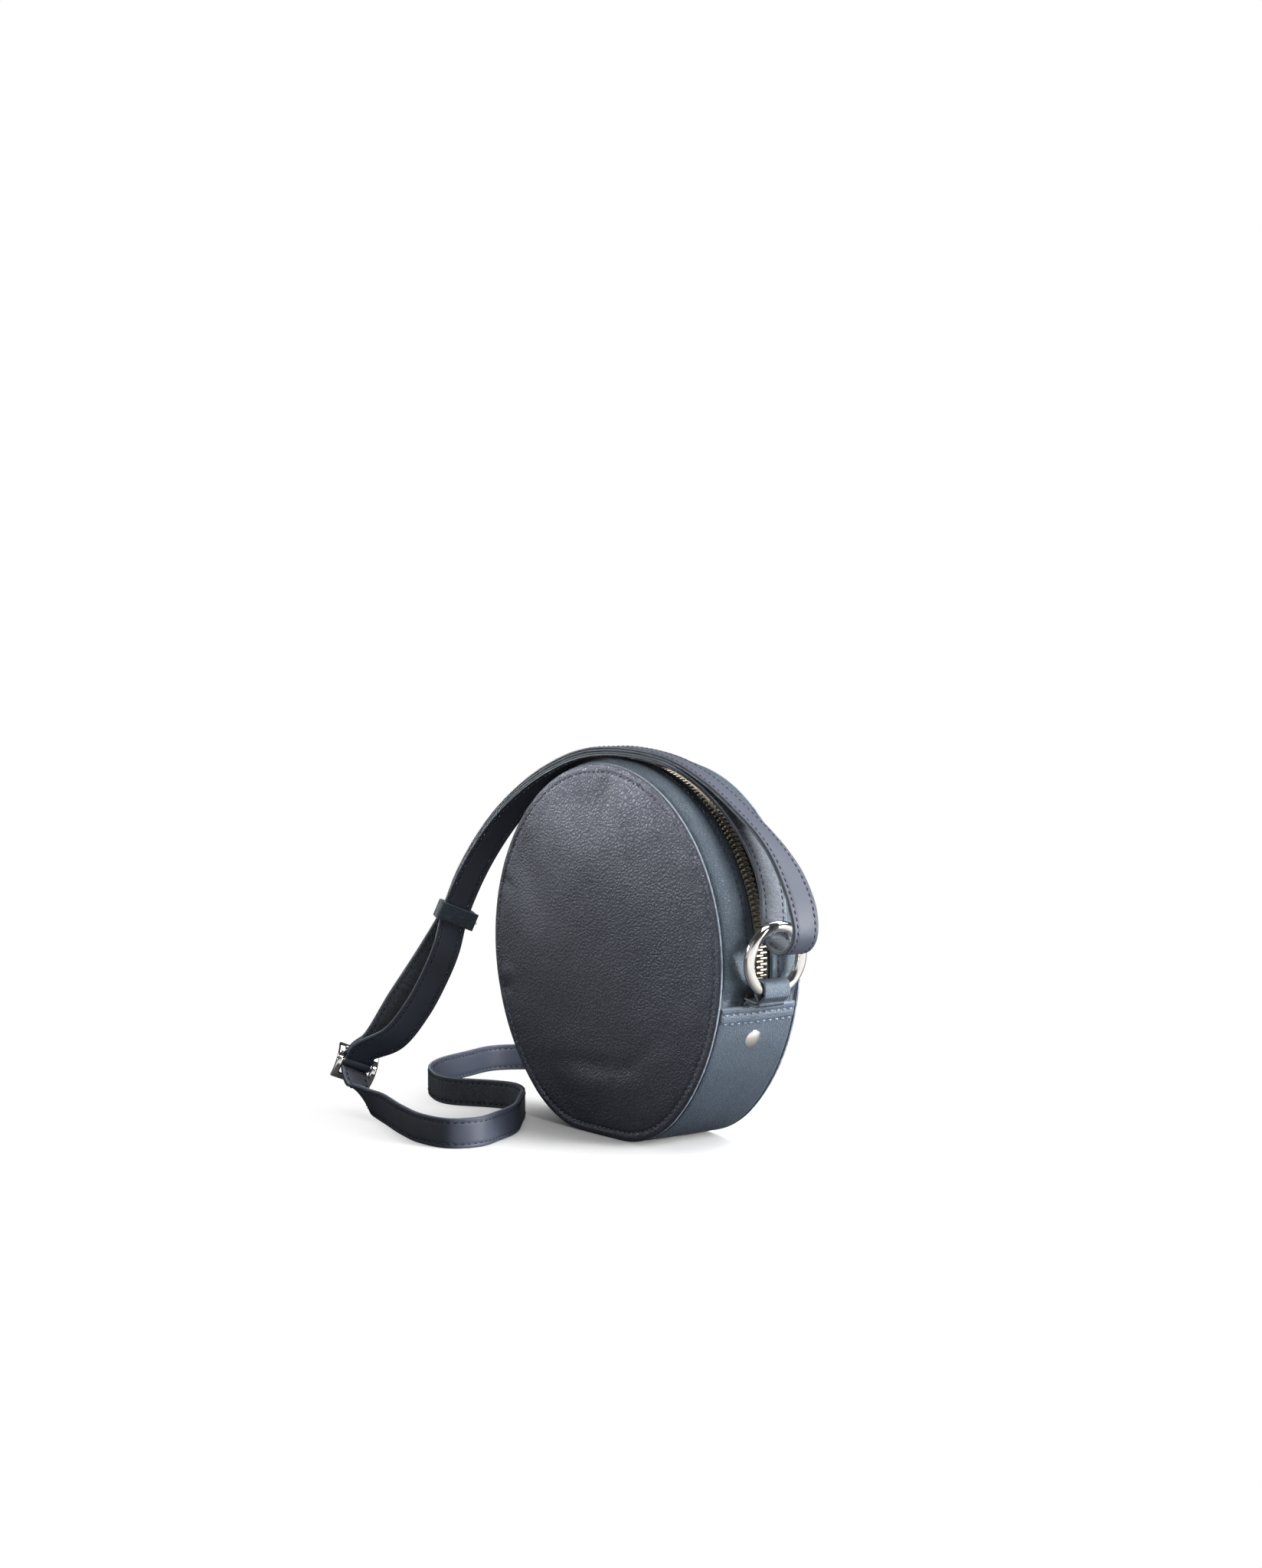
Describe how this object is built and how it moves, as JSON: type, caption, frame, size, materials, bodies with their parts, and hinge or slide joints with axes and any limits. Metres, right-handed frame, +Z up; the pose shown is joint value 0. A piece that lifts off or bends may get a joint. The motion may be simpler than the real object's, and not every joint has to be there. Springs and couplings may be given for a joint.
{
  "type": "circle bag",
  "caption": "Round leather shoulder bag with a zipped gusset, ring tabs, and a doubled strap with slide buckle and keeper.",
  "frame": {"origin": "centre of the flat base that the bag stands on", "axes": "+Z up, +Y from the front panel to the back panel, +X toward the side whose ring stands up"},
  "size_m": [0.3052, 0.1782, 0.1869],
  "materials": {
    "bag_leather": "navy full-grain leather with a fine pebble and a soft sheen",
    "strap_leather": "navy smooth strap leather, edge stitched",
    "strap_lining": "navy strap underside, finely wrinkled",
    "lining_cloth": "dark woven lining",
    "zip_tape": "black woven tape",
    "zip_metal": "nickel teeth",
    "slider_metal": "polished nickel slider and pull",
    "ring_metal": "polished nickel, slightly warm"
  },
  "bodies": {
    "bag": {"front_panel": "bag_leather", "back_panel": "bag_leather", "upper_gusset_front": "bag_leather", "upper_gusset_back": "bag_leather", "lower_gusset": "bag_leather", "front_lining": "lining_cloth", "back_lining": "lining_cloth", "upper_lining_front": "lining_cloth", "upper_lining_back": "lining_cloth", "lower_lining": "lining_cloth", "zip_tape_front": "zip_tape", "zip_tape_back": "zip_tape", "zip_teeth_front": "zip_metal", "zip_teeth_back": "zip_metal", "zip_stops": "zip_metal", "ring_tab_right": "bag_leather", "ring_tab_left": "bag_leather", "rivet_caps": "ring_metal", "rivet_backs": "ring_metal", "strap_doubled_face": "strap_leather", "strap_doubled_lining": "strap_lining", "strap_tail_face": "strap_leather", "strap_tail_lining": "strap_lining"},
    "slider_right": {"zip_slider_right": "slider_metal"},
    "pull_right": {"zip_pull_right": "slider_metal"},
    "slider_left": {"zip_slider_left": "slider_metal"},
    "pull_left": {"zip_pull_left": "slider_metal"},
    "ring_right": {"ring_right": "ring_metal"},
    "ring_left": {"ring_left": "ring_metal"},
    "keeper": {"strap_keeper": "bag_leather", "keeper_staple": "ring_metal"},
    "buckle": {"buckle_frame": "ring_metal", "buckle_bar": "ring_metal"}
  },
  "joints": [
    {"name": "zip_right_travel", "type": "hinge", "parent": "bag", "child": "slider_right", "pos_m": [0, 0, 0.089], "axis": [0, 1, 0], "range_deg": [0, 78], "deforming": ["zip_teeth_front", "zip_teeth_back", "strap_doubled_face", "strap_doubled_lining"]},
    {"name": "zip_left_travel", "type": "hinge", "parent": "bag", "child": "slider_left", "pos_m": [0, 0, 0.089], "axis": [0, -1, 0], "range_deg": [0, 78], "deforming": ["zip_teeth_front", "zip_teeth_back", "strap_doubled_face", "strap_doubled_lining"]},
    {"name": "pull_right_swing", "type": "hinge", "parent": "slider_right", "child": "pull_right", "pos_m": [0.00908, 0, 0.18095], "axis": [0, -1, 0], "range_deg": [0, 100], "deforming": ["strap_doubled_face", "strap_doubled_lining"]},
    {"name": "pull_left_swing", "type": "hinge", "parent": "slider_left", "child": "pull_left", "pos_m": [-0.00264, 0, 0.18136], "axis": [0, 1, 0], "range_deg": [0, 100], "deforming": ["strap_doubled_face", "strap_doubled_lining"]},
    {"name": "ring_right_swing", "type": "hinge", "parent": "bag", "child": "ring_right", "pos_m": [0.09735, 0, 0.07782], "axis": [0, 1, 0], "range_deg": [-3, 75], "deforming": ["ring_tab_right", "strap_doubled_face", "strap_doubled_lining"]},
    {"name": "ring_left_swing", "type": "hinge", "parent": "bag", "child": "ring_left", "pos_m": [-0.09735, 0, 0.07782], "axis": [0, 1, 0], "range_deg": [-5, 100], "deforming": ["ring_tab_left", "strap_tail_face", "strap_tail_lining"]},
    {"name": "keeper_slide", "type": "slide", "parent": "bag", "child": "keeper", "axis": [0.227, 0.3161, 0.9212], "range_m": [-0.012, 0.012], "deforming": ["strap_doubled_face", "strap_doubled_lining"]},
    {"name": "buckle_slide", "type": "slide", "parent": "bag", "child": "buckle", "axis": [0.3741, 0.4011, 0.8362], "range_m": [0, 0.03], "deforming": ["strap_doubled_face", "strap_doubled_lining", "strap_tail_face", "strap_tail_lining"]}
  ]
}
